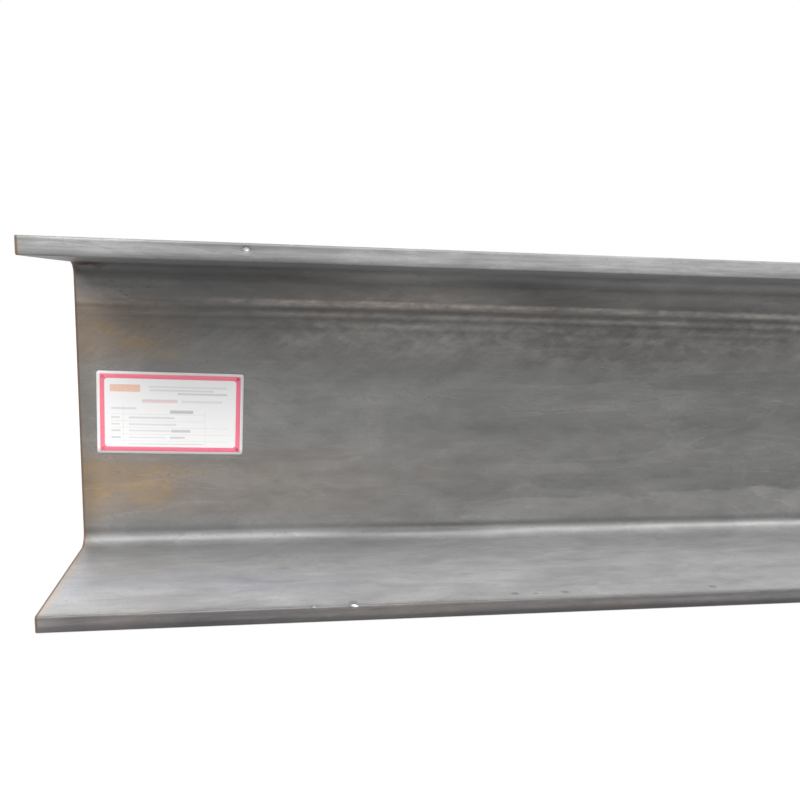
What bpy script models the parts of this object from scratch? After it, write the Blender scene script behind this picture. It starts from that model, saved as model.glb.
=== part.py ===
# A length of hot-rolled steel H-beam, wide-flange section 344 x 348 x 10 x 16 mm, standing on
# its bottom flange, with a paper label stuck on the web near one cut end.
# Metres, +Z up. X runs along the beam, Y across the flanges, and the origin is under the middle
# of the beam, on the underside of the bottom flange.

import math

import bmesh
import bpy
from mathutils import Matrix

# Rolled section
SECTION_HEIGHT = 0.344
FLANGE_WIDTH = 0.348
WEB_THICKNESS = 0.010
FLANGE_THICKNESS = 0.016
ROOT_RADIUS = 0.013  # fillet between web and flange
TIP_RADIUS = 0.002  # worn corners along the flange tips

# Stock length, sawn square at both ends
BEAM_LENGTH = 6.0

# Paper label on the web face at -Y
LABEL_WIDTH = 0.158
LABEL_HEIGHT = 0.092
LABEL_THICKNESS = 0.0003
LABEL_CORNER_RADIUS = 0.003
LABEL_FROM_END = 0.019  # from the cut end at -X to the label's nearer side
LABEL_BELOW_MIDDLE = 0.006  # its centre, under the middle of the web
LABEL_TILT = math.radians(1.1)  # stuck on slightly askew, its far side lower
LABEL_GAP = 0.0003  # between the web and the back of the paper

# How finely the round edges are cut
ROOT_SEGMENTS = 10
TIP_SEGMENTS = 3
CORNER_SEGMENTS = 5

SMOOTH_BELOW = math.radians(30)  # faces that meet at less than this shade as one surface


def clear_scene():
    for old in list(bpy.data.objects):
        bpy.data.objects.remove(old, do_unlink=True)


def make_material(name, color, roughness, metallic):
    material = bpy.data.materials.new(name)
    material.use_nodes = True
    shader = material.node_tree.nodes["Principled BSDF"]
    shader.inputs["Base Color"].default_value = (*color, 1.0)
    shader.inputs["Roughness"].default_value = roughness
    shader.inputs["Metallic"].default_value = metallic
    return material


def make_object(name, shape, material):
    """Stores a finished bmesh as the scene object called name."""
    bmesh.ops.recalc_face_normals(shape, faces=shape.faces)
    mesh = bpy.data.meshes.new(name)
    shape.to_mesh(mesh)
    shape.free()
    mesh.materials.append(material)
    mesh.shade_smooth()
    mesh.set_sharp_from_angle(angle=SMOOTH_BELOW)
    part = bpy.data.objects.new(name, mesh)
    bpy.context.collection.objects.link(part)
    return part


def round_edges(shape, edges, radius, segments):
    bmesh.ops.bevel(
        shape,
        geom=edges,
        offset=radius,
        offset_type="OFFSET",
        segments=segments,
        profile=0.5,
        affect="EDGES",
        material=-1,
    )


def h_outline():
    """The square-cornered section as (y, z) points, anticlockwise seen from +X."""
    tip = FLANGE_WIDTH / 2
    web = WEB_THICKNESS / 2
    lower = FLANGE_THICKNESS
    upper = SECTION_HEIGHT - FLANGE_THICKNESS
    right = [(tip, 0), (tip, lower), (web, lower), (web, upper), (tip, upper), (tip, SECTION_HEIGHT)]
    left = [(-y, z) for y, z in reversed(right)]
    return right + left


def along_beam(edge):
    a, b = edge.verts
    return abs(a.co.x - b.co.x) > BEAM_LENGTH / 2


def at_root(edge):
    return along_beam(edge) and abs(edge.verts[0].co.y) < FLANGE_WIDTH / 4


def at_tip(edge):
    return along_beam(edge) and abs(edge.verts[0].co.y) > FLANGE_WIDTH / 4


def make_beam(material):
    """The beam is one rolled piece: web and both flanges in a single solid."""
    shape = bmesh.new()
    corners = [shape.verts.new((-BEAM_LENGTH / 2, y, z)) for y, z in h_outline()]
    end = shape.faces.new(corners)
    swept = bmesh.ops.extrude_face_region(shape, geom=[end])["geom"]
    moved = [item for item in swept if isinstance(item, bmesh.types.BMVert)]
    bmesh.ops.translate(shape, verts=moved, vec=(BEAM_LENGTH, 0, 0))
    round_edges(shape, [e for e in shape.edges if at_root(e)], ROOT_RADIUS, ROOT_SEGMENTS)
    round_edges(shape, [e for e in shape.edges if at_tip(e)], TIP_RADIUS, TIP_SEGMENTS)
    return make_object("h_beam", shape, material)


def through_paper(edge):
    a, b = edge.verts
    return abs(a.co.y - b.co.y) > LABEL_THICKNESS / 2


def make_label(material):
    """A rectangle of paper with rounded corners, its back a glue line's gap off the web."""
    shape = bmesh.new()
    bmesh.ops.create_cube(shape, size=1.0)
    bmesh.ops.scale(shape, verts=shape.verts, vec=(LABEL_WIDTH, LABEL_THICKNESS, LABEL_HEIGHT))
    round_edges(
        shape,
        [e for e in shape.edges if through_paper(e)],
        LABEL_CORNER_RADIUS,
        CORNER_SEGMENTS,
    )
    bmesh.ops.rotate(shape, verts=shape.verts, matrix=Matrix.Rotation(LABEL_TILT, 3, "Y"))
    middle = (
        -BEAM_LENGTH / 2 + LABEL_FROM_END + LABEL_WIDTH / 2,
        -WEB_THICKNESS / 2 - LABEL_GAP - LABEL_THICKNESS / 2,
        SECTION_HEIGHT / 2 - LABEL_BELOW_MIDDLE,
    )
    bmesh.ops.translate(shape, verts=shape.verts, vec=middle)
    return make_object("paper_label", shape, material)


def main():
    clear_scene()
    steel = make_material("mill_scale_steel", (0.16, 0.155, 0.15), roughness=0.5, metallic=0.6)
    paper = make_material("label_paper", (0.85, 0.83, 0.84), roughness=0.45, metallic=0.0)
    make_beam(steel)
    make_label(paper)


main()
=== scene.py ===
import math

import bmesh
import bpy
from mathutils import Matrix, Vector, noise


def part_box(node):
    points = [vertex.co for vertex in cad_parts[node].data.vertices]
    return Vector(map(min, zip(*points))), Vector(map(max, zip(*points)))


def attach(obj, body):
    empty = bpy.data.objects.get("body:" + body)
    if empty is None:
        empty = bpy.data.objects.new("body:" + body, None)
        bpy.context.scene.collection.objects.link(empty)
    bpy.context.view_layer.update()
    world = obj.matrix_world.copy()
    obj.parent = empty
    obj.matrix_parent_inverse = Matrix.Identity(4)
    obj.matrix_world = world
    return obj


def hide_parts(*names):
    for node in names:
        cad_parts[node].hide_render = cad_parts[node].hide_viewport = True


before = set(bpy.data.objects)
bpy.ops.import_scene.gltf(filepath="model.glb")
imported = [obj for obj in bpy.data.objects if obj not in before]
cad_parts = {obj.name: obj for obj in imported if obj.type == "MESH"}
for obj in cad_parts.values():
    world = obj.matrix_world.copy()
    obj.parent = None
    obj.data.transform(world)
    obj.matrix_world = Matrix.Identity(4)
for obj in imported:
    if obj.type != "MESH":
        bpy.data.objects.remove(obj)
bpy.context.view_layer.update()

# Finishes for one length of hot-rolled H-beam with a paper label stuck on its web.
# Metres, +Z up, X along the beam, the labelled side of the web facing -Y.

low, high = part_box("h_beam")
beamLength = high.x - low.x


def grey(level):  # the same reflectance in all three channels
    return (level, level, level, 1.0)


class Wire:  # a shader socket that takes part in ordinary expressions
    def __init__(self, finish, socket):
        self.finish = finish
        self.socket = socket

    def maths(self, operation, *terms):
        return self.finish.add("ShaderNodeMath", {"operation": operation}, dict(enumerate(terms)))

    def __add__(self, other):
        return self.maths("ADD", self, other)

    def __radd__(self, other):
        return self.maths("ADD", other, self)

    def __sub__(self, other):
        return self.maths("SUBTRACT", self, other)

    def __rsub__(self, other):
        return self.maths("SUBTRACT", other, self)

    def __mul__(self, other):
        return self.maths("MULTIPLY", self, other)

    def __rmul__(self, other):
        return self.maths("MULTIPLY", other, self)

    def __truediv__(self, other):
        return self.maths("DIVIDE", self, other)

    def __pow__(self, power):
        return self.maths("POWER", self, power)

    def __abs__(self):
        return self.maths("ABSOLUTE", self)

    def least(self, other):
        return self.maths("MINIMUM", self, other)

    def most(self, other):
        return self.maths("MAXIMUM", self, other)

    def rise(self, start, end):  # 0 before start, 1 past end, smooth between; start over end turns it round
        ends = {"Value": self, "From Min": start, "From Max": end, "To Min": 0.0, "To Max": 1.0}
        return self.finish.add("ShaderNodeMapRange", {"interpolation_type": "SMOOTHSTEP"}, ends)


class Finish:  # one material and the nodes in it
    def __init__(self, name):
        self.material = bpy.data.materials.new(name)
        self.material.use_nodes = True
        self.tree = self.material.node_tree
        self.shader = self.tree.nodes["Principled BSDF"]

    def add(self, kind, settings=None, inputs=None, output=0):
        node = self.tree.nodes.new(kind)
        for setting, value in (settings or {}).items():
            setattr(node, setting, value)
        for socket, value in (inputs or {}).items():
            self.feed(node.inputs[socket], value)
        return Wire(self, node.outputs[output])

    def feed(self, socket, value):
        if isinstance(value, Wire):
            self.tree.links.new(value.socket, socket)
        else:
            socket.default_value = value

    def place(self, size, turn=0.0):  # measured from the labelled end in pattern sizes, turned about Y
        inputs = {
            "Vector": self.add("ShaderNodeTexCoord", output="Object"),
            "Location": (low.x, 0, 0),
            "Rotation": (0, math.radians(turn), 0),
            "Scale": size,
        }
        return self.add("ShaderNodeMapping", {"vector_type": "TEXTURE"}, inputs)

    def split(self, vector):
        node = self.add("ShaderNodeSeparateXYZ", inputs={0: vector}).socket.node
        return [Wire(self, socket) for socket in node.outputs]

    def noise(self, size, detail=2.0, rough=0.5, warp=0.0, turn=0.0):  # size in metres along X, Y and Z
        inputs = {
            "Vector": self.place(size, turn),
            "Scale": 1.0,
            "Detail": detail,
            "Roughness": rough,
            "Distortion": warp,
        }
        return self.add("ShaderNodeTexNoise", {"noise_dimensions": "3D"}, inputs)

    def mix(self, share, under, over, blend="MIX"):
        settings = {"data_type": "RGBA", "blend_type": blend}
        return self.add("ShaderNodeMix", settings, {0: share, 6: under, 7: over}, output=2)

    def tinted(self, colour, tint, share=1.0):
        return self.mix(share, colour, tint, "MULTIPLY")

    def shade(self, colour, level):  # colour times a grey level
        greyLevel = self.add("ShaderNodeCombineColor", inputs={0: level, 1: level, 2: level})
        return self.tinted(colour, greyLevel)

    def surface(self, **inputs):
        for socket, value in inputs.items():
            self.feed(self.shader.inputs[socket.replace("_", " ")], value)
        return self.material

    def bump(self, height, depth):  # height 0 to 1 over that depth in metres
        return self.add("ShaderNodeBump", inputs={"Strength": 1.0, "Distance": depth, "Height": height})


beam = {
    "webThickness": 0.010,
    "flangeThickness": 0.016,
    "rootRadius": 0.013,
    "tipRadius": 0.002,
    "rootSegments": 14,
    "tipSegments": 4,
    "endBevel": 0.0006,
    "nearStep": 0.022,  # spacing of the mesh along the beam, by the labelled end
    "nearLength": 1.3,
    "farStep": 0.075,
    "leastStep": 0.0008,
    "webCut": 0.0012,  # spacing of the mesh across the roll marks
    "webCuts": 24,
    "cutsUnderMark": 15.5,
    "filletCuts": (0.030, 0.034),
    "tipCut": 0.0015,  # spacing of the mesh up the flange tips
    "flangeCuts": (0.0035, 0.006, 0.010, 0.020, 0.060, 0.110),  # inward from the tips
    "rollMark": 0.288,  # height of the rolled ripples on the web, which wander up and down a little
    "rollMarkDepth": 0.00030,
    "rollMarkPitch": 0.0095,
    "rollMarkChange": 3.1,  # how often their depth changes, per metre
    "rollMarkBehind": 0.5,  # their depth on the unlabelled side against the labelled one
    "firstCrest": -0.003,
    "rippleMiddle": -0.0075,
    "wander": 0.003,
    "wanderPitch": 2.4,
    "tipWaver": 0.00035,
    "tipWaverChange": 4.0,
    "tipReach": 0.004,  # how far in from the tip the wavering goes
    # dents in the flange tips: distance from the labelled end, side, height, radius, depth
    "dents": [
        (0.184, -1, 0.3385, 0.0036, 0.0010),
        (0.284, -1, 0.0155, 0.0040, 0.0013),
        (0.247, -1, 0.0160, 0.0032, 0.0006),
        (0.742, -1, 0.3430, 0.0070, 0.0009),
        (1.310, -1, 0.0150, 0.0080, 0.0014),
        (2.640, -1, 0.3420, 0.0080, 0.0015),
        (3.920, -1, 0.0150, 0.0100, 0.0016),
        (5.170, -1, 0.3420, 0.0080, 0.0014),
        (0.410, 1, 0.3420, 0.0080, 0.0014),
        (1.960, 1, 0.0150, 0.0090, 0.0015),
        (3.330, 1, 0.3420, 0.0080, 0.0013),
        (4.880, 1, 0.0150, 0.0090, 0.0015),
    ],
}


def sectionCorners():  # the square-cornered section, anticlockwise seen from +X
    tip = high.y
    web = beam["webThickness"] / 2
    lower = beam["flangeThickness"]
    upper = high.z - beam["flangeThickness"]
    right = [(tip, 0), (tip, lower), (web, lower), (web, upper), (tip, upper), (tip, high.z)]
    return right + [(-y, z) for y, z in reversed(right)]


def roundCorners(shape, corners, radius, segments):
    bmesh.ops.bevel(shape, geom=corners, offset=radius, segments=segments, profile=0.5,
                    affect="VERTICES", material=-1)


def cutAcross(shape, point, normal):
    everything = shape.verts[:] + shape.edges[:] + shape.faces[:]
    bmesh.ops.bisect_plane(shape, geom=everything, plane_co=point, plane_no=normal, dist=1e-6)


def stations():  # where the section is repeated along the beam, measured from the labelled end
    found = [0.0, beamLength]
    reach = 0.0
    while reach < beamLength:
        found.append(reach)
        reach += beam["nearStep"] if reach < beam["nearLength"] else beam["farStep"]
    for fromEnd, side, height, radius, depth in beam["dents"]:
        found += [fromEnd + radius * step / 4 for step in range(-5, 6)]
    kept = [0.0]
    for place in sorted(found):
        if place - kept[-1] > beam["leastStep"] and beamLength - place > 0.002:
            kept.append(place)
    return kept + [beamLength]


def drawSection(shape):
    outline = [shape.verts.new((low.x, y, z)) for y, z in sectionCorners()]
    shape.faces.new(outline)
    atRoot = [v for v in shape.verts if abs(v.co.y) < high.y / 2]
    roundCorners(shape, atRoot, beam["rootRadius"], beam["rootSegments"])
    atTip = [v for v in shape.verts if abs(v.co.y) > high.y - 1e-5]
    roundCorners(shape, atTip, beam["tipRadius"], beam["tipSegments"])
    steps = range(beam["webCuts"])
    levels = [beam["rollMark"] + (step - beam["cutsUnderMark"]) * beam["webCut"] for step in steps]
    levels += [high.z / 2, *beam["filletCuts"], *(high.z - cut for cut in beam["filletCuts"])]
    flat = beam["flangeThickness"] - 2 * beam["tipRadius"]
    count = round(flat / beam["tipCut"])
    for step in range(1, count):
        up = beam["tipRadius"] + flat * step / count
        levels += [up, high.z - up]
    for level in levels:
        cutAcross(shape, (0, 0, level), (0, 0, 1))
    for inward in beam["flangeCuts"]:
        for side in (-1, 1):
            cutAcross(shape, (0, side * (high.y - inward), 0), (0, 1, 0))


def drawOut(shape):  # extrude the section from station to station
    cap = shape.faces[:]
    for count, place in enumerate(stations()[1:]):
        made = bmesh.ops.extrude_face_region(shape, geom=cap)["geom"]
        if count > 0:  # the piece stays hollow of inner faces, which would bend its shading
            bmesh.ops.delete(shape, geom=cap, context="FACES")
        cap = [item for item in made if isinstance(item, bmesh.types.BMFace)]
        moved = [item for item in made if isinstance(item, bmesh.types.BMVert)]
        bmesh.ops.translate(shape, verts=moved, vec=(low.x + place - moved[0].co.x, 0, 0))


def bevelEnds(shape):
    def onEnd(edge):
        return all(abs(abs(v.co.x) - high.x) < 1e-6 for v in edge.verts)

    def turnsCorner(edge):
        return len(edge.link_faces) == 2 and edge.calc_face_angle() > 1.0

    edges = [e for e in shape.edges if onEnd(e) and turnsCorner(e)]
    bmesh.ops.bevel(shape, geom=edges, offset=beam["endBevel"], segments=2, profile=0.5,
                    affect="EDGES", material=-1)


def markHeight(along):  # where the upper roll mark lies, for a number or a wire
    turn = (along - 0.2) * (2 * math.pi / beam["wanderPitch"])
    wave = turn.maths("COSINE", turn) if isinstance(turn, Wire) else math.cos(turn)
    return beam["rollMark"] + beam["wander"] * wave


def ripple(offset):  # a wave that fades out above and below its middle, against the roll mark's height
    pitch = beam["rollMarkPitch"]
    near = max(0.0, 1 - ((offset - beam["rippleMiddle"]) / (pitch * 1.3)) ** 2)
    return near * math.cos((offset - beam["firstCrest"]) / pitch * 2 * math.pi)


def wearDown(shape):  # roll marks on the web, wavering tips and handling dents, all moved inward
    bruise = shape.verts.layers.float.new("bruise")
    web = beam["webThickness"] / 2
    tipReach = beam["tipReach"]
    for v in shape.verts:
        along = v.co.x - low.x
        side = 1 if v.co.y > 0 else -1
        if abs(abs(v.co.y) - web) < 1e-5:
            strength = 0.7 + 0.7 * noise.noise((along * beam["rollMarkChange"], side * 3.0, 7.0))
            wave = ripple(v.co.z - markHeight(along)) - 1
            shown = 1.0 if side < 0 else beam["rollMarkBehind"]
            v.co.y += side * beam["rollMarkDepth"] * strength * wave * shown
        reach = abs(v.co.y) - (high.y - tipReach)
        if reach > 0:
            level = 3.0 if v.co.z > high.z / 2 else 0.0
            wander = 0.5 + 0.5 * noise.noise((along * beam["tipWaverChange"], side * 9.0, level))
            v.co.y -= side * beam["tipWaver"] * wander * reach / tipReach
        for fromEnd, dentSide, height, radius, depth in beam["dents"]:
            if dentSide != side or abs(along - fromEnd) > 1.6 * radius:
                continue
            away = Vector(((along - fromEnd) / 1.5, abs(v.co.y) - high.y, 1.3 * (v.co.z - height)))
            share = max(0.0, 1 - away.length / radius)
            v.co.y -= side * depth * math.sin(share * math.pi / 2) ** 2
            v[bruise] = max(v[bruise], share)


def faceKinds(shape):  # material slots: 0 rolled surface, 1 sawn end
    for face in shape.faces:
        sawn = abs(face.calc_center_median().x) > high.x - beam["endBevel"] * 0.98
        face.material_index = 1 if sawn else 0
        face.smooth = not (sawn and abs(face.normal.x) > 0.9)


def finishPiece(name, shape, materials, node):
    mesh = bpy.data.meshes.new(name)
    shape.to_mesh(mesh)
    shape.free()
    for material in materials:
        mesh.materials.append(material)
    piece = bpy.data.objects.new(name, mesh)
    bpy.context.scene.collection.objects.link(piece)
    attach(piece, "root")
    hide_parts(node)
    print(name, len(mesh.vertices), "vertices")


def makeBeam(materials):
    shape = bmesh.new()
    drawSection(shape)
    drawOut(shape)
    bevelEnds(shape)
    bmesh.ops.recalc_face_normals(shape, faces=shape.faces)
    wearDown(shape)
    faceKinds(shape)
    finishPiece("rolledBeam", shape, materials, "h_beam")


steel = {
    "web": (0.216, 0.214, 0.210, 1),
    "webWarmth": (1.030, 1.000, 0.972, 1),  # a tint over the upper part of the web
    # the flanges are painted darker by the web as shade, less so farther along
    "flangeShadedByWeb": (0.222, 0.222, 0.223, 1),
    "flangeShadedByWebFarther": (0.300, 0.300, 0.302, 1),
    "flangeByTip": (0.432, 0.432, 0.434, 1),
    "flangeBlue": (0.965, 0.98, 1.04, 1),  # a tint along the middle of the lower flange
    "shadedFlange": (0.23, 0.23, 0.23, 1),  # the under side of the top flange
    "topFace": (0.27, 0.257, 0.24, 1),
    "upperTip": (0.300, 0.300, 0.300, 1),
    # the lower tip is painted darker than the upper one, as shade
    "lowerTipShaded": (0.130, 0.125, 0.125, 1),
    # tints for the light lines over the ripples: lighter scale with painted highlight
    "rollMark": (2.30, 2.12, 2.04, 1),
    "rollMarkFarther": (2.16, 2.10, 2.06, 1),
    "scratch": (1.24, 1.24, 1.24, 1),
    "bare": (0.47, 0.47, 0.465, 1),  # metal laid open by a knock
    "rustHaze": (1.20, 0.97, 0.77, 1),  # what the faintest rust does to the scale under it
    "rustBloom": (1.28, 1.11, 0.76, 1),
    "rust": (0.135, 0.080, 0.052, 1),
    "bledRust": (0.090, 0.047, 0.042, 1),  # under the top flange by the sawn end
    "metallic": 0.28,
    "roughness": 0.50,
    "reliefDepth": 0.00016,
    # the scale's patterns: size along, across and up, then detail, roughness, warp and turn
    "patterns": {
        "clouds": ((0.150, 0.062, 0.062), 6.0, 0.60, 0.7),
        "mottle": ((0.022, 0.011, 0.011), 4.0, 0.60, 0.4),
        "bands": ((1.300, 0.020, 0.020), 3.0, 0.55),
        "lines": ((0.110, 0.0026, 0.0026), 2.0, 0.60),
        "grain": ((0.0014, 0.0014, 0.0014), 2.0, 0.60),
        "blotches": ((0.058, 0.023, 0.023), 3.0, 0.50, 0.4),
        "flakes": ((0.120, 0.036, 0.036), 6.0, 0.58, 1.1),
        "wisps": ((0.070, 0.013, 0.013), 4.0, 0.62, 0.9, -33),
        "flow": ((0.260, 0.034, 0.034), 5.0, 0.55, 1.0),
        "clumps": ((0.020, 0.0125, 0.0125), 2.5, 0.55, 0.7),
        "markEdge": ((0.012, 0.300, 0.300), 3.0, 0.6),
        "markBreaks": ((0.070, 0.300, 0.300), 4.0, 0.7),
        "markFading": ((0.140, 0.300, 0.300), 3.0, 0.6),
        "markFlecks": ((0.0190, 0.0050, 0.0050), 3.0, 0.6),
        "tipStreaks": ((0.220, 0.0042, 0.0042), 3.0, 0.62),
        "tipDashes": ((0.030, 0.0030, 0.0030), 3.0, 0.62, 0.3),
        "specks": ((0.0034, 0.0026, 0.0026), 2.0, 0.5),
        "rustSpecks": ((0.0050, 0.0036, 0.0036), 3.0, 0.6),
        "scratches": ((0.090, 0.0011, 0.0011), 1.0, 0.5, 0.0, 9),
        "scratchedPlaces": ((0.080, 0.050, 0.050), 2.0, 0.5),
        "tornMetal": ((0.0046, 0.0018, 0.0018), 3.0, 0.6),
    },
    # how strongly each pattern changes the tone
    "toneShares": [
        ("clouds", 0.60),
        ("blotches", 0.36),
        ("mottle", 0.30),
        ("bands", 0.16),
        ("lines", 0.09),
        ("grain", 0.12),
    ],
    # rust on the labelled side: distance from the end, height, half length, half height, strength
    "rustPatches": [
        (0.064, 0.243, 0.013, 0.006, 0.80),
        (0.032, 0.260, 0.012, 0.006, 0.45),
        (0.094, 0.230, 0.010, 0.005, 0.34),
        (0.048, 0.092, 0.036, 0.014, 0.34),
        (0.074, 0.074, 0.018, 0.010, 0.50),
        (0.100, 0.100, 0.026, 0.006, 0.30),
        (0.010, 0.074, 0.012, 0.024, 0.26),
        (0.196, 0.096, 0.020, 0.005, 0.26),
        (0.408, 0.098, 0.030, 0.004, 0.16),
    ],
    # small dark pits in the bottom flange, the first being the painted shadow above a dent: distance from
    # the end, from the web's middle, half size
    "pitsAndDentShade": [
        (0.284, 0.1672, 0.0036),
        (0.446, 0.1620, 0.0030),
        (0.467, 0.1630, 0.0022),
        (0.498, 0.1620, 0.0034),
        (0.658, 0.1620, 0.0034),
    ],
}


class Skin:  # where a point of the rolled surface lies, and the patterns of its mill scale
    def __init__(self, scale):
        self.scale = scale
        self.along, self.across, self.up = scale.split(scale.place((1, 1, 1)))
        self.toEnd = self.along.least(beamLength - self.along)
        self.offWeb = abs(self.across)
        self.toTop = high.z - self.up
        self.labelled = self.across.rise(0.002, -0.002)
        self.clouds = self.pattern("clouds")
        self.mottle = self.pattern("mottle")
        self.bands = self.pattern("bands")
        self.lines = self.pattern("lines")
        self.grain = self.pattern("grain")
        self.blotches = self.pattern("blotches")
        self.flakes = self.pattern("flakes")
        self.liftedScale = self.flakes.rise(0.540, 0.556)
        self.tone = 1
        for name, share in steel["toneShares"]:
            self.tone = self.tone + share * (getattr(self, name) - 0.5)
        self.tone = self.tone + 0.075 * self.liftedScale - 0.060 * self.flakes.rise(0.452, 0.436)

    def pattern(self, name):
        return self.scale.noise(*steel["patterns"][name])

    def band(self, value, middle, reach):  # 1 on the middle, falling to 0 at reach on both sides
        return abs(value - middle).rise(reach, 0.0)

    def patch(self, fromEnd, level, halfLength, halfHeight, sideways, ragged):
        far = ((self.along - fromEnd) / halfLength) ** 2 + ((sideways - level) / halfHeight) ** 2
        return (far + ragged * (self.mottle - 0.5)).rise(1.2, 0.2)

    def stain(self, colour, tint, amount):
        return self.scale.tinted(colour, self.scale.mix(amount, grey(1.0), steel[tint]))


def webTone(skin):  # light and dark over the web
    along, up = skin.along, skin.up
    tone = skin.tone * (1 - 0.15 * along.rise(0.28, 0.66)) * (1 - 0.22 * skin.toEnd.rise(0.026, 0.0))
    # the lower part is darker farther along, and a little darker over the first stretch
    tone = tone * (1 - 0.10 * along.rise(0.32, 0.48) * up.rise(0.20, 0.15))
    firstStretch = along.rise(0.02, 0.14) * along.rise(0.62, 0.42)
    tone = tone * (1 - 0.09 * firstStretch * up.rise(0.262, 0.232))
    # slanting wisps, and painted light in a band under the roll marks against the top flange's shade
    tone = tone * (1 + 0.62 * (skin.pattern("wisps") - 0.5) * skin.band(up, 0.245, 0.065))
    tone = tone * (1 + 0.46 * skin.band(up, 0.264, 0.052) * along.rise(0.18, 0.42))
    # lighter stretches above the roll marks, and one dark one below them
    tone = tone * (1 + 0.34 * skin.patch(0.010, 0.293, 0.055, 0.011, up, 3.0))
    tone = tone * (1 + 0.34 * skin.band(along, 0.41, 0.13) * skin.band(up, 0.309, 0.020))
    tone = tone * (1 + 0.46 * along.rise(0.53, 0.62) * skin.band(up, 0.306, 0.013))
    tone = tone * (1 - 0.24 * skin.patch(0.640, 0.241, 0.130, 0.013, up, 3.0))
    # long flowing shapes farther along, clumps of scale, and a light foot with a ragged upper edge
    flow = skin.pattern("flow")
    flowing = along.rise(0.36, 0.52)
    flowTone = 0.09 * flow.rise(0.505, 0.525) + 0.10 * skin.band(flow, 0.522, 0.012) - 0.045
    tone = tone * (1 + flowing * flowTone)
    clumped = skin.band(up, 0.260, 0.044) * along.rise(0.08, 0.30)
    tone = tone * (1 + 1.15 * (skin.pattern("clumps") - 0.5) * clumped)
    edge = 0.060 + 0.012 * along.rise(0.60, 0.76) + 0.035 * (skin.flakes - 0.5)
    foot = (0.13 + 0.16 * along.rise(0.60, 0.74)) * flowing
    tone = tone * (1 + foot * up.rise(edge + 0.0015, edge - 0.0015))
    tone = tone * (1 - 0.10 * flowing * skin.band(up, edge + 0.022, 0.020))
    # painted shade in a dark line where the web meets the fillet
    shadeLineHeight = beam["flangeThickness"] + beam["rootRadius"] + 0.003
    return tone * (1 - (0.17 + 0.08 * along.rise(0.36, 0.50)) * skin.band(up, shadeLineHeight, 0.006))


def webRollMarks(skin, colour):  # broken light lines over the rolled ripples, partly lighter scale and partly painted highlight, with painted shade in dark lines between them
    scale, along = skin.scale, skin.along
    shown = along.rise(0.08, 0.24)
    edge = 0.0024 * (skin.pattern("markEdge") - 0.5)
    offset = skin.up - markHeight(along) + edge
    broken = skin.pattern("markBreaks").rise(0.36, 0.50)
    faint = skin.pattern("markFading").rise(0.38, 0.58)
    flecks = 0.60 + 0.55 * skin.pattern("markFlecks").rise(0.40, 0.62)
    # each line: height against the roll mark, reach up and down, strength
    rippleShadeLines = [
        (-0.0066, 0.0034, 0.42 - 0.10 * along.rise(0.25, 0.34)),
        (-0.0172, 0.0032, 0.20),
        (-0.0290, 0.0036, 0.10),
    ]
    for level, reach, strength in rippleShadeLines:
        darkness = strength * (0.40 + 0.60 * shown) * skin.band(offset, level, reach)
        colour = scale.shade(colour, 1 - darkness)
    rippleHighlightsAndStreaks = [
        (0.0065, 0.0125, 0.30 * skin.band(along, 0.37, 0.20)),
        (0.0, 0.0050, 0.52 + 0.60 * broken),
        (-0.0118, 0.0034, 0.16 + 0.30 * faint),
        (-0.0238, 0.0038, 0.06 + 0.28 * (1 - faint)),
    ]
    tint = scale.mix(along.rise(0.50, 0.62), steel["rollMark"], steel["rollMarkFarther"])
    for level, reach, strength in rippleHighlightsAndStreaks:
        amount = strength * shown * flecks * skin.band(offset, level, reach)
        colour = scale.tinted(colour, scale.mix(amount, grey(1.0), tint))
    return colour


def webRust(skin, colour):  # brown haze and small patches by the sawn ends
    up, toEnd = skin.up, skin.toEnd
    upper = 0.72 * toEnd.rise(0.150, 0.060) * up.rise(0.212, 0.240) * up.rise(0.305, 0.280)
    lower = 0.50 * toEnd.rise(0.150, 0.050) * up.rise(0.128, 0.105) * up.rise(0.044, 0.072)
    broad = 0.36 * toEnd.rise(0.56, 0.10) * up.rise(0.140, 0.105) * up.rise(0.034, 0.060)
    byEdge = 0.30 * toEnd.rise(0.040, 0.0)
    haze = (upper + lower + broad + byEdge) * (0.35 + 1.3 * skin.clouds)
    colour = skin.stain(colour, "rustHaze", haze)
    for fromEnd, level, halfLength, halfHeight, strength in steel["rustPatches"]:
        spot = skin.patch(fromEnd, level, halfLength * 1.5, halfHeight * 1.5, up, 5.5)
        colour = skin.stain(colour, "rustBloom", strength * skin.labelled * spot)
    return colour


def webColour(skin):
    warmer = skin.up.rise(0.222, 0.236) * skin.along.rise(0.12, 0.26)
    web = skin.scale.tinted(steel["web"], steel["webWarmth"], warmer)
    colour = skin.scale.shade(web, webTone(skin))
    return webRust(skin, webRollMarks(skin, colour))


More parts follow.
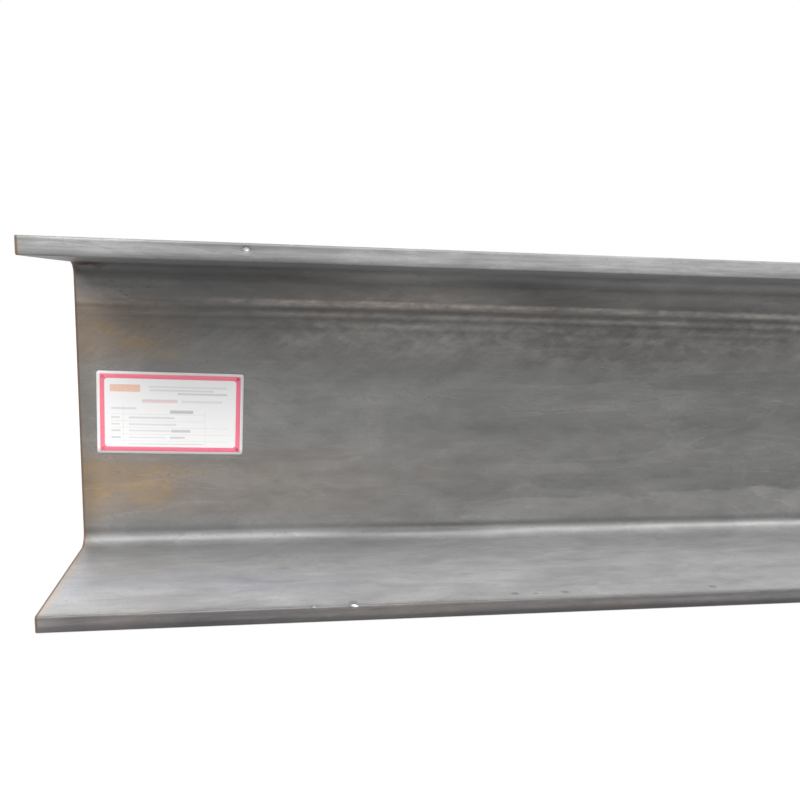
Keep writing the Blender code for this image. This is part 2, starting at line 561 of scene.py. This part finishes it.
def flangeColour(skin):  # the four flange faces beside the web, and the beam's top and bottom
    scale, along, up = skin.scale, skin.along, skin.up
    lowerFlange = up.rise(0.10, 0.05)
    # painted shade by the web, lighter towards the tips, with a bluish middle
    inner = beam["webThickness"] / 2 + beam["rootRadius"]
    outward = (skin.offWeb - inner) / (high.y - inner)
    shadedByWeb = scale.mix(along.rise(0.25, 0.60), steel["flangeShadedByWeb"], steel["flangeShadedByWebFarther"])
    colour = scale.mix(outward.rise(-0.05, 0.85), shadedByWeb, steel["flangeByTip"])
    blue = skin.band(outward, 0.62, 0.34) * along.rise(0.40, 0.18)
    colour = scale.tinted(colour, steel["flangeBlue"], blue)
    shaded = scale.shade(steel["shadedFlange"], 1 + 0.45 * along.rise(0.20, 0.38))
    colour = scale.mix(up.rise(0.10, 0.20), colour, shaded)
    # a painted highlight along the lower fillet, with a little painted shade on its lower part: turned is 0
    # at the flange and 1 at the web
    turned = (up - beam["flangeThickness"]) / beam["rootRadius"]
    onFillet = skin.offWeb.rise(inner, inner - 0.003)
    filletHighlightStrength = 0.05 - 0.58 * skin.band(along, 0.395, 0.15) + 0.18 * along.rise(0.48, 0.58)
    filletHighlightStrength = filletHighlightStrength + 0.62 * along.rise(0.62, 0.77)
    paintedFilletLight = skin.band(turned, 0.64, 0.34) * filletHighlightStrength - 0.03 * skin.band(turned, 0.16, 0.26)
    colour = scale.shade(colour, skin.tone * (1 + onFillet * paintedFilletLight))
    # the lower flange's rim, the top face, and the pits with one dent's painted shadow
    rim = skin.offWeb.rise(high.y - 0.007, high.y - 0.001)
    colour = scale.shade(colour, 1 - 0.22 * rim * lowerFlange)
    topFace = skin.toTop.rise(0.004, 0.001)
    colour = scale.mix(topFace, colour, scale.shade(steel["topFace"], skin.tone))
    for fromEnd, level, halfSize in steel["pitsAndDentShade"]:
        darkSpot = skin.patch(fromEnd, level, halfSize * 1.4, halfSize, skin.offWeb, 1.5)
        colour = scale.shade(colour, 1 - 0.32 * darkSpot * skin.labelled * lowerFlange)
    # rust by the ends, over the top face, and bled under the top flange
    haze = 0.8 * skin.toEnd.rise(0.013, 0.0) + 0.5 * topFace * skin.clouds.rise(0.42, 0.66)
    colour = skin.stain(colour, "rustHaze", haze)
    under = up.rise(0.30, 0.32) * (1 - topFace)
    byEnd = skin.toEnd.rise(0.048, 0.014) * skin.offWeb.rise(0.168, 0.128)
    bled = byEnd * under * skin.mottle.rise(0.40, 0.54)
    return scale.mix(0.85 * bled, colour, steel["bledRust"])


def tipColour(skin):  # the rolled edges of the flanges
    scale, along, up = skin.scale, skin.along, skin.up
    upper = up.rise(0.15, 0.16)
    lower = 1 - upper
    streaks = 0.85 * (skin.pattern("tipStreaks") - 0.5)
    dashes = 0.62 * (skin.pattern("tipDashes") - 0.5)
    tone = skin.tone * (1 + streaks + dashes)
    # the upper tip: a darker top line, a dull stretch near the end and a dark lower edge
    tone = tone * (1 - upper * 0.12 * skin.toTop.rise(0.0050, 0.0026))
    dull = 0.20 * skin.band(along, 0.19, 0.15) + 0.09 * along.rise(0.44, 0.34) * along.rise(0.06, 0.12)
    tone = tone * (1 - upper * (dull + 0.22 * skin.toTop.rise(0.0095, 0.0145)))
    # the lower tip: painted shade, darker still over its lower half, and lighter by the sawn end
    tone = tone * (1 - lower * (0.42 + 0.16 * along.rise(0.2, 0.5)) * up.rise(0.0088, 0.0028))
    tone = tone * (1 + 0.50 * lower * along.rise(0.040, 0.004))
    colour = scale.shade(scale.mix(upper, steel["lowerTipShaded"], steel["upperTip"]), tone)
    haze = 0.4 * skin.toEnd.rise(0.010, 0.0) + 0.3 * lower * skin.clouds.rise(0.44, 0.66)
    return skin.stain(colour, "rustHaze", haze)


def makeScale():  # the mill scale over the whole rolled surface
    scale = Finish("millScale")
    skin = Skin(scale)
    along, up, toEnd = skin.along, skin.up, skin.toEnd
    onWeb = up.least(skin.toTop).rise(0.019, 0.030)
    onTip = skin.offWeb.rise(high.y - 0.0021, high.y - 0.0008)
    colour = scale.mix(onWeb, flangeColour(skin), webColour(skin))
    # painted shade in the upper corner, and a strip of painted shade above the lower fillet
    upperCornerShade = 0.08 + 0.54 * along.rise(0.36, 0.22) + 0.50 * skin.band(along, 0.48, 0.17)
    colour = scale.shade(colour, 1 - upperCornerShade * skin.band(skin.toTop, 0.0250, 0.0100))
    shadeAboveFillet = skin.band(up, 0.0295, 0.0052) * skin.band(along, 0.43, 0.19)
    colour = scale.shade(colour, 1 - 0.34 * shadeAboveFillet)
    colour = scale.mix(onTip, colour, tipColour(skin))
    # dark specks, rust specks, and fine scratches
    specks = skin.pattern("specks").rise(0.640, 0.700)
    colour = scale.shade(colour, 1 - 0.20 * specks * skin.clouds.rise(0.42, 0.58))
    rustSpecks = skin.pattern("rustSpecks").rise(0.585, 0.660)
    nearEnd = 0.12 + 0.88 * toEnd.rise(0.24, 0.02)
    spotted = rustSpecks * nearEnd * skin.flakes.rise(0.46, 0.56) * (0.14 + 0.20 * onWeb)
    colour = scale.mix(spotted, colour, steel["rust"])
    scratched = skin.pattern("scratches").rise(0.690, 0.730)
    scratched = scratched * skin.pattern("scratchedPlaces").rise(0.54, 0.64)
    colour = scale.tinted(colour, steel["scratch"], scratched)
    colour = scale.mix(0.85 * toEnd.rise(0.0030, 0.0014), colour, steel["rust"])
    # metal torn open in the dents, with painted shade in a dark ring round it
    knock = scale.add("ShaderNodeAttribute", {"attribute_name": "bruise"}, output="Fac")
    torn = (knock + 1.6 * (skin.pattern("tornMetal") - 0.5)).rise(0.44, 0.74)
    shadeRinged = scale.shade(colour, 1 - 0.26 * knock.rise(0.0, 0.30))
    colour = scale.mix(torn, shadeRinged, steel["bare"])
    relief = 0.30 * skin.bands + 0.25 * skin.lines + 0.45 * skin.mottle + 0.20 * skin.grain
    relief = relief + 0.35 * skin.liftedScale
    roughness = steel["roughness"] + 0.22 * (skin.clouds - 0.5) + 0.14 * (skin.mottle - 0.5)
    dullFillet = skin.band(up, 0.0262, 0.0125) * skin.band(along, 0.395, 0.16)
    roughness = roughness - 0.05 * onTip + 0.26 * dullFillet
    return scale.surface(
        Base_Color=colour,
        Roughness=roughness + 0.06 * rustSpecks,
        Metallic=steel["metallic"] + 0.45 * torn - 0.12 * rustSpecks,
        Normal=scale.bump(relief, steel["reliefDepth"]),
    )


sawnEnd = {
    "darkRust": (0.20, 0.118, 0.068, 1),
    "lightRust": (0.33, 0.245, 0.175, 1),
    "freshCut": (0.30, 0.29, 0.28, 1),
    "metallic": 0.25,
    "roughness": 0.56,
    "reliefDepth": 0.00025,
}


def makeSawn():  # the sawn ends: fine saw lines under a thin brown rust
    sawn = Finish("sawnEnd")
    blade = sawn.noise((1.0, 0.040, 0.0012), 2.0, 0.6, 0.15)
    bloom = sawn.noise((0.016, 0.016, 0.016), 5.0, 0.65)
    fresh = sawn.noise((0.050, 0.030, 0.030), 3.0, 0.6)
    colour = sawn.mix(bloom.rise(0.40, 0.62), sawnEnd["darkRust"], sawnEnd["lightRust"])
    colour = sawn.mix(0.5 * fresh.rise(0.52, 0.62), colour, sawnEnd["freshCut"])
    colour = sawn.shade(colour, 0.72 + 0.56 * blade)
    return sawn.surface(
        Base_Color=colour,
        Roughness=sawnEnd["roughness"] + 0.25 * (bloom - 0.5),
        Metallic=sawnEnd["metallic"],
        Normal=sawn.bump(blade + 0.3 * bloom, sawnEnd["reliefDepth"]),
    )


label = {
    "width": 0.158,
    "height": 0.092,
    "thickness": 0.0002,
    "cornerRadius": 0.003,
    "cornerSegments": 6,
    "cellsAcross": 24,
    "cellsUp": 14,
    "cockle": 0.00025,  # how far the paper lifts in soft bumps
    "cockleChange": 28,  # how often, per metre
    "fromEnd": 0.019,
    "belowMiddle": 0.006,
    "tilt": math.radians(1.1),
    "gap": 0.0003,
}


def makeLabel(material):
    width, height = label["width"], label["height"]
    shape = bmesh.new()
    bmesh.ops.create_grid(shape, x_segments=1, y_segments=1, size=0.5)
    bmesh.ops.scale(shape, verts=shape.verts, vec=(width, height, 1))
    roundCorners(shape, shape.verts[:], label["cornerRadius"], label["cornerSegments"])
    for step in range(1, label["cellsAcross"]):
        cutAcross(shape, (width * (step / label["cellsAcross"] - 0.5), 0, 0), (1, 0, 0))
    for step in range(1, label["cellsUp"]):
        cutAcross(shape, (0, height * (step / label["cellsUp"] - 0.5), 0), (0, 1, 0))
    uv = shape.loops.layers.uv.new("print")
    for face in shape.faces:
        for loop in face.loops:
            loop[uv].uv = (loop.vert.co.x / width + 0.5, loop.vert.co.y / height + 0.5)
    change = label["cockleChange"]
    for v in shape.verts:
        v.co.z += label["cockle"] * (1 + noise.noise((v.co.x * change, v.co.y * change, 2.0)))
    bmesh.ops.solidify(shape, geom=shape.faces[:], thickness=label["thickness"])
    bmesh.ops.recalc_face_normals(shape, faces=shape.faces)
    upright = Matrix.Rotation(math.radians(90), 4, "X")
    askew = Matrix.Rotation(label["tilt"], 4, "Y")
    middle = Matrix.Translation((
        low.x + label["fromEnd"] + width / 2,
        -beam["webThickness"] / 2 - label["gap"],
        high.z / 2 - label["belowMiddle"],
    ))
    bmesh.ops.transform(shape, matrix=middle @ askew @ upright, verts=shape.verts)
    for face in shape.faces:
        face.smooth = True
    finishPiece("labelSheet", shape, [material], "paper_label")


printing = {
    "paper": (0.970, 0.968, 0.963, 1),
    "frame": (0.97, 0.215, 0.310, 1),
    "frameEdge": (3.2, 2.8),  # bare paper outside the frame, at the sides and at the top and bottom, in mm
    "frameWidth": 5.0,
    "outerCorner": 1.2,
    "innerCorner": 3.5,
    "cornerMark": (0.42, 0.05, 0.08, 1),
    "orange": (0.90, 0.42, 0.20, 1),
    "red": (0.66, 0.13, 0.18, 1),
    "ink": (0.16, 0.16, 0.17, 1),
    "grime": (0.90, 0.85, 0.76, 1),
    # plain bars and rules in the places of a form: left, top, width and height in mm, colour, strength
    "bars": [
        (14, 14.5, 32, 8.0, "orange", 0.62),
        (55, 15.4, 85, 2.3, "ink", 0.15),
        (56, 19.2, 69, 2.2, "ink", 0.20),
        (86, 22.8, 54, 2.2, "ink", 0.28),
        (48, 30.6, 38, 3.6, "red", 0.32),
        (90, 31.2, 45, 2.6, "ink", 0.16),
        (15, 40.0, 27, 1.8, "ink", 0.30),
        (78, 42.4, 25, 3.6, "ink", 0.44),
        (15, 50.2, 9, 1.8, "ink", 0.26),
        (34, 50.2, 49, 2.0, "ink", 0.26),
        (34, 57.8, 51, 2.0, "ink", 0.22),
        (15, 57.8, 9, 1.8, "ink", 0.22),
        (15, 65.0, 10, 2.0, "ink", 0.30),
        (34, 65.0, 44, 1.8, "ink", 0.20),
        (79, 64.4, 21, 3.0, "ink", 0.40),
        (15, 72.6, 10, 2.0, "ink", 0.34),
        (34, 72.8, 40, 1.6, "ink", 0.18),
        (78, 72.2, 16, 2.4, "ink", 0.34),
        (33, 80.2, 81, 1.4, "ink", 0.20),
    ],
    "acrossRules": [(15, 116, 47.2), (15, 116, 54.9), (15, 143, 62.3), (15, 143, 69.8), (15, 143, 77.4)],
    "upRules": [(27.5, 38, 83), (116, 44, 83)],
    "ruleWidth": 0.45,
    "ruleStrength": 0.22,
}


def makePrint():
    paper = Finish("printedPaper")
    across, up, _ = paper.split(paper.add("ShaderNodeUVMap", {"uv_map": "print"}))
    width = label["width"] * 1000
    height = label["height"] * 1000
    across = across * width
    down = (1 - up) * height
    sides, ends = printing["frameEdge"]

    def inside(value, start, end):
        reach = (end - start) / 2
        return abs(value - (start + end) / 2).rise(reach + 0.2, reach - 0.2)

    def bar(left, top, wide, tall):
        return inside(across, left, left + wide) * inside(down, top, top + tall)

    def roundBar(inset, radius):  # a rectangle that far inside the frame's outer edge, with round corners
        overX = (abs(across - width / 2) - (width / 2 - sides - inset - radius)).most(0.0)
        overY = (abs(down - height / 2) - (height / 2 - ends - inset - radius)).most(0.0)
        return ((overX ** 2 + overY ** 2) ** 0.5).rise(radius + 0.25, radius - 0.25)

    # the frame, with a dark mark in each corner
    density = paper.noise((0.0024, 0.0024, 0.0012), 3.0, 0.7)
    frameWidth = printing["frameWidth"]
    outer = roundBar(0.0, printing["outerCorner"])
    inner = roundBar(frameWidth, printing["innerCorner"])
    framed = outer * (1 - inner) * (0.86 + 0.25 * density)
    colour = paper.mix(framed, printing["paper"], printing["frame"])
    inward = frameWidth * 0.62
    cornerX = abs(abs(across - width / 2) - (width / 2 - sides - inward))
    cornerY = abs(abs(down - height / 2) - (height / 2 - ends - inward))
    mark = (cornerX ** 2 + cornerY ** 2).rise(5.5, 0.6) * (0.45 + 0.35 * inside(across, width / 2, width))
    colour = paper.mix(mark, colour, printing["cornerMark"])
    # the bars and rules
    patchy = 0.55 + 0.9 * density
    for left, top, wide, tall, ink, strength in printing["bars"]:
        colour = paper.mix(strength * patchy * bar(left, top, wide, tall), colour, printing[ink])
    thin = printing["ruleWidth"]
    rules = [(left, level, right - left, thin) for left, right, level in printing["acrossRules"]]
    rules += [(place, top, thin, bottom - top) for place, top, bottom in printing["upRules"]]
    for rule in rules:
        colour = paper.mix(printing["ruleStrength"] * bar(*rule), colour, printing["ink"])
    # grime by the rim, and soft creases in the paper
    toRim = (width / 2 - abs(across - width / 2)).least(height / 2 - abs(down - height / 2))
    grime = paper.noise((0.030, 0.030, 0.018), 5.0, 0.62, 0.6)
    soiled = toRim.rise(2.2, 0.0) * 0.30 + 0.16 * grime.rise(0.55, 0.72)
    colour = paper.tinted(colour, printing["grime"], soiled)
    fibre = paper.noise((0.0010, 0.0010, 0.0004), 3.0, 0.6)
    crease = paper.noise((0.050, 0.050, 0.020), 3.0, 0.5, 0.5)
    return paper.surface(
        Base_Color=colour,
        Roughness=0.42 + 0.16 * (grime - 0.5) + 0.06 * soiled,
        Specular_IOR_Level=0.35,
        Normal=paper.bump(0.12 * fibre + 0.88 * abs(crease - 0.5), 0.0005),
    )


studio = {
    "floorSize": 60.0,
    "floorGap": 0.0004,
    "floorColour": 0.9,
    "floorBounce": 0.25,
    "floorGlow": 0.6,
    "surround": 0.35,
    "key": {"strength": 1.28, "soft": 55, "azimuth": -8, "elevation": 46},
    "back": {"strength": 0.28, "soft": 55, "azimuth": 170, "elevation": 45},
}

view = {
    "fromEnd": 0.1962,
    "outFromWeb": 0.7508,
    "height": 0.3098,
    "turn": 7.764,
    "dip": 9.328,
    "roll": 1.564,
    "lens": 29.97,
    "shiftX": 0.0625,
    "shiftY": -0.0044,
}


def seenDirectly(finish):  # 1 for what the camera, a mirror or glass shows
    rays = finish.add("ShaderNodeLightPath").socket.node
    camera, glossy, through = [Wire(finish, rays.outputs[name])
                               for name in ("Is Camera Ray", "Is Glossy Ray", "Is Transmission Ray")]
    return camera.most(glossy).most(through)


def makeFloor():
    shape = bmesh.new()
    bmesh.ops.create_grid(shape, x_segments=1, y_segments=1, size=studio["floorSize"] / 2)
    bmesh.ops.translate(shape, verts=shape.verts, vec=(0, 0, low.z - studio["floorGap"]))
    mesh = bpy.data.meshes.new("studioFloor")
    shape.to_mesh(mesh)
    shape.free()
    floor = bpy.data.objects.new("studioFloor", mesh)
    bpy.context.scene.collection.objects.link(floor)
    pale = Finish("paleFloor")
    lit = pale.add("ShaderNodeBsdfDiffuse", inputs={"Color": grey(studio["floorColour"])})
    glow = pale.add("ShaderNodeEmission", inputs={"Color": grey(1.0), "Strength": 1.0})
    shown = pale.add("ShaderNodeMixShader", inputs={0: studio["floorGlow"], 1: lit, 2: glow})
    bounce = pale.add("ShaderNodeBsdfDiffuse", inputs={"Color": grey(studio["floorBounce"])})
    both = pale.add("ShaderNodeMixShader", inputs={0: seenDirectly(pale), 1: bounce, 2: shown})
    pale.feed(pale.tree.nodes["Material Output"].inputs["Surface"], both)
    mesh.materials.append(pale.material)


class Surround(Finish):  # the world's nodes
    def __init__(self):
        self.world = bpy.data.worlds.new("paleSurround")
        self.world.use_nodes = True
        self.tree = self.world.node_tree


def makeSurround():
    surround = Surround()
    bpy.context.scene.world = surround.world
    soft = surround.tree.nodes["Background"]
    soft.inputs["Color"].default_value = grey(1.0)
    soft.inputs["Strength"].default_value = studio["surround"]
    white = surround.add("ShaderNodeBackground", inputs={"Color": grey(1.0), "Strength": 1.0})
    ends = {0: seenDirectly(surround), 1: Wire(surround, soft.outputs[0]), 2: white}
    both = surround.add("ShaderNodeMixShader", inputs=ends)
    surround.feed(surround.tree.nodes["World Output"].inputs["Surface"], both)


def makeSun(name):
    lamp = bpy.data.lights.new(name, "SUN")
    lamp.energy = studio[name]["strength"] * math.pi
    lamp.angle = math.radians(studio[name]["soft"])
    azimuth = math.radians(studio[name]["azimuth"])
    elevation = math.radians(studio[name]["elevation"])
    towards = Vector((math.sin(azimuth), -math.cos(azimuth), math.tan(elevation)))
    sun = bpy.data.objects.new(name, lamp)
    sun.rotation_euler = towards.to_track_quat("Z", "Y").to_euler()
    bpy.context.scene.collection.objects.link(sun)


def makeCamera():
    lens = bpy.data.cameras.new("view")
    lens.lens = view["lens"]
    lens.shift_x = view["shiftX"]
    lens.shift_y = view["shiftY"]
    lens.clip_start = 0.01
    camera = bpy.data.objects.new("view", lens)
    turn = Matrix.Rotation(math.radians(-view["turn"]), 4, "Z")
    dip = Matrix.Rotation(math.radians(90 - view["dip"]), 4, "X")
    roll = Matrix.Rotation(math.radians(view["roll"]), 4, "Z")
    place = Matrix.Translation((low.x + view["fromEnd"], -view["outFromWeb"], view["height"]))
    camera.matrix_world = place @ turn @ dip @ roll
    bpy.context.scene.collection.objects.link(camera)
    bpy.context.scene.camera = camera


makeCamera()
makeFloor()
makeSurround()
makeSun("key")
makeSun("back")
bpy.context.scene.view_settings.view_transform = "Standard"
print("studio ready")

makeBeam([makeScale(), makeSawn()])
makeLabel(makePrint())
